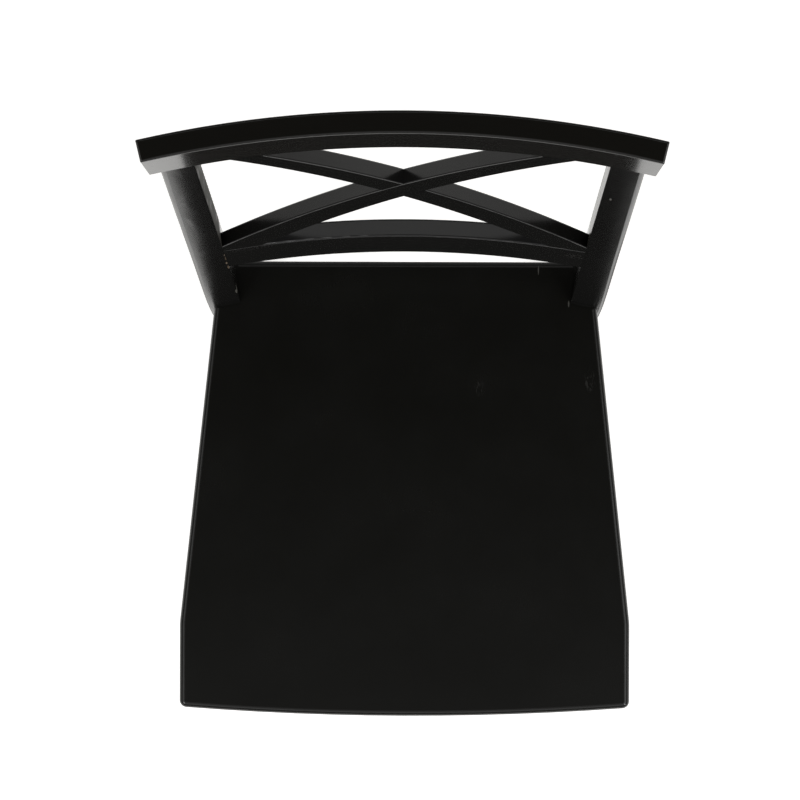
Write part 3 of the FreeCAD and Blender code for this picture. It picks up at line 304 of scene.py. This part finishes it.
# worn and bare spots on the posts, and a painted highlight at the left post's foot (last left entry): place, size,
# colour
left_chips_and_highlight = [((-0.1620, 0.1650, 0.583), (0.0011, 0.006, 0.0050), (0.13, 0.09, 0.055)),
              ((-0.1628, 0.1680, 0.597), (0.0007, 0.006, 0.0028), (0.20, 0.15, 0.105)),
              ((-0.1618, 0.1710, 0.611), (0.0012, 0.006, 0.0060), (0.10, 0.072, 0.045)),
              ((-0.1625, 0.1735, 0.622), (0.0006, 0.006, 0.0020), (0.17, 0.135, 0.10)),
              ((-0.1618, 0.1475, 0.499), (0.0008, 0.006, 0.0060), (0.13, 0.125, 0.11))]
right_chips = [((0.1706, 0.2080, 0.800), (0.0008, 0.006, 0.0024), (0.11, 0.105, 0.095))]
# the posts' faces towards the middle are painted paler and warm with dark spots: a painted floor reflection
for tag, side, chips_and_highlights, turn, dull in (("left", -1, left_chips_and_highlight, 0.0, 0.56), ("right", 1, right_chips, 0.09, 0.03)):
    dress("rear_post_" + tag, lacquer("post_lacquer_" + tag, "z", rough=0.24, coat=0.0, ior=1.44, streak=0.006, grain_depth=0.001, vary=0.1,
                                      chips_and_highlights=chips_and_highlights, turn=turn, inner_reflection=(side, (0.020, 0.018, 0.013), dull),
                                      dulled=[(side * 1.0, 0.0, 0.25, 0.60, 0.78, 0.62, 0.30 if side > 0 else 0.12),
                                              (side * -1.0, 0.0, 0.55, 0.90, 0.66, 0.62, -0.08)]))
    dress("front_leg_" + tag, lacquer("leg_lacquer_" + tag, "z", rough=0.24, dust=0.3))
    dress("side_apron_" + tag, lacquer("side_apron_lacquer_" + tag, "y", rough=0.26, dust=0.3))
    dress("side_stretcher_" + tag, lacquer("stretcher_lacquer_" + tag, "y", rough=0.25, dust=0.5))
for n in ("front_apron", "rear_apron", "centre_stretcher"):
    dress(n, lacquer(n + "_lacquer", "x", rough=0.25, dust=0.4))
for end in ("front", "rear"):
    for tag in ("left", "right"):
        dress("corner_block_%s_%s" % (end, tag), beech("block_wood_%s_%s" % (end, tag), "x"))
        dress("floor_glide_%s_%s" % (end, tag), nylon("glide_nylon_%s_%s" % (end, tag)))
for n in ("crest_dowels", "brace_dowels", "apron_dowels"):
    dress(n, beech(n + "_wood", "z"))
for n in ("corner_bolts", "seat_screws"):
    dress(n, zinc(n + "_zinc"))

# -------------------------------------------------------------------- floor
m, nt, p = new_mat("studio_floor")
vec = add(nt, "ShaderNodeTexCoord").outputs["Object"]
n = noise(nt, vec, 3.0, 3.0, 0.5)
c = mix_rgb(nt, n, (0.80, 0.80, 0.795), (0.84, 0.84, 0.835))
link(nt, c, p.inputs["Base Color"])
p.inputs["Roughness"].default_value = 0.6
p.inputs["Specular IOR Level"].default_value = 0.2
p.inputs["Emission Color"].default_value = (1.0, 0.99, 0.97, 1.0)
p.inputs["Emission Strength"].default_value = 0.80
bpy.ops.mesh.primitive_plane_add(size=20.0, location=(0, 0, 0))
floor = bpy.context.object
floor.name = "floor"
floor.data.materials.append(m)

# -------------------------------------------------------------------- light
# a dim room with a dark ceiling; the soft boxes below give the sheen
world = bpy.data.worlds.new("studio")
bpy.context.scene.world = world
world.use_nodes = True
wt = world.node_tree
for n in list(wt.nodes):
    wt.nodes.remove(n)
wo = wt.nodes.new("ShaderNodeOutputWorld")
bg = wt.nodes.new("ShaderNodeBackground")
tc = wt.nodes.new("ShaderNodeTexCoord")
sp = wt.nodes.new("ShaderNodeSeparateXYZ")
ramp = wt.nodes.new("ShaderNodeValToRGB")
wt.links.new(tc.outputs["Generated"], sp.inputs[0])
wt.links.new(sp.outputs["Z"], ramp.inputs[0])
# a little more light from the front than from overhead
front = wt.nodes.new("ShaderNodeMapRange")
front.interpolation_type = "SMOOTHSTEP"
for key, v in (("From Min", 0.02), ("From Max", -0.38), ("To Min", 0.0), ("To Max", 0.34)):
    front.inputs[key].default_value = v
wt.links.new(sp.outputs["Y"], front.inputs["Value"])
above = wt.nodes.new("ShaderNodeMapRange")
above.interpolation_type = "SMOOTHSTEP"
for key, v in (("From Min", 0.25), ("From Max", 0.6)):
    above.inputs[key].default_value = v
wt.links.new(sp.outputs["Z"], above.inputs["Value"])
both = wt.nodes.new("ShaderNodeMath")
both.operation = "MULTIPLY"
wt.links.new(front.outputs[0], both.inputs[0])
wt.links.new(above.outputs[0], both.inputs[1])
total = wt.nodes.new("ShaderNodeMix")
total.data_type = "RGBA"
total.blend_type = "ADD"
total.inputs[0].default_value = 1.0
# the room is darker low down in front and behind than at the sides
back = wt.nodes.new("ShaderNodeMapRange")
back.interpolation_type = "SMOOTHSTEP"
for key, v in (("From Min", 0.42), ("From Max", 0.72), ("To Min", 1.0), ("To Max", 0.22)):
    back.inputs[key].default_value = v
depth = wt.nodes.new("ShaderNodeMath")
depth.operation = "ABSOLUTE"
wt.links.new(sp.outputs["Y"], depth.inputs[0])
wt.links.new(depth.outputs[0], back.inputs["Value"])
dim = wt.nodes.new("ShaderNodeMix")
dim.data_type = "RGBA"
dim.blend_type = "MULTIPLY"
dim.inputs[0].default_value = 1.0
wt.links.new(ramp.outputs[0], dim.inputs[6])
wt.links.new(back.outputs[0], dim.inputs[7])
wt.links.new(dim.outputs[2], total.inputs[6])
wt.links.new(both.outputs[0], total.inputs[7])
wt.links.new(total.outputs[2], bg.inputs["Color"])
wt.links.new(bg.outputs[0], wo.inputs["Surface"])
ramp.color_ramp.interpolation = "LINEAR"
e = ramp.color_ramp.elements
e[0].position = 0.0
e[0].color = (0.22, 0.218, 0.211, 1)
e[1].position = 1.0
e[1].color = (0.026, 0.0255, 0.0215, 1)
for at, v in ((0.04, 0.66), (0.09, 0.90), (0.14, 0.20), (0.30, 0.16), (0.70, 0.14), (0.90, 0.075), (0.97, 0.038)):
    k = e.new(at)
    k.color = (v, v * 0.99, v * (0.965 if at < 0.6 else 0.88), 1)
bg.inputs["Strength"].default_value = 1.0


def softbox(name, at, target, size, radiance, colour=(1, 1, 1)):
    """A rectangular light of a given brightness, whatever its size."""
    d = bpy.data.lights.new(name, "AREA")
    d.shape = "RECTANGLE"
    d.size, d.size_y = size
    d.energy = radiance * math.pi * size[0] * size[1]
    d.color = colour
    o = bpy.data.objects.new(name, d)
    bpy.context.scene.collection.objects.link(o)
    o.location = at
    o.rotation_mode = "QUATERNION"
    o.rotation_quaternion = (Vector(target) - Vector(at)).to_track_quat("-Z", "Y")
    return o


# high behind the chair, seen in the top of the lower rail
softbox("soft_rear", (0.0, 2.05, 4.1), (0, 0.2, 0.6), (2.2, 1.1), 0.55)
softbox("soft_left", (-2.4, -0.6, 3.2), (0, 0, 0.6), (2.6, 1.5), 1.0)
softbox("soft_right", (2.4, -0.9, 3.2), (0, 0, 0.6), (2.6, 1.8), 1.5)
softbox("soft_front", (0.0, -3.0, 3.0), (0, 0, 0.6), (2.8, 1.2), 0.7)
# two small lamps that glint on the seat's front corners
softbox("glint_left", (-2.3, -2.6, 3.0), (-0.2, -0.25, 0.45), (0.4, 0.5), 56.0)
softbox("glint_right", (2.3, -2.6, 3.0), (0.2, -0.25, 0.45), (0.4, 0.5), 44.0)

# ------------------------------------------------------------------- camera
cam = bpy.data.cameras.new("camera")
cam.lens = 36.0 * 2242.0 / 800.0
cam.sensor_width = 36.0
cam.shift_x = -19.2 / 800.0
cam.shift_y = 1.1 / 800.0
cam.clip_start = 0.05
cam.clip_end = 50.0
cam_ob = bpy.data.objects.new("camera", cam)
bpy.context.scene.collection.objects.link(cam_ob)
cam_ob.location = (0.0136, 0.0419, 0.457 + 2.1888)
cam_ob.rotation_euler = (0.0, 0.0, math.radians(0.18))
bpy.context.scene.camera = cam_ob

bpy.context.scene.view_settings.view_transform = "Standard"
bpy.context.scene.view_settings.look = "None"
bpy.context.scene.view_settings.exposure = 0.0
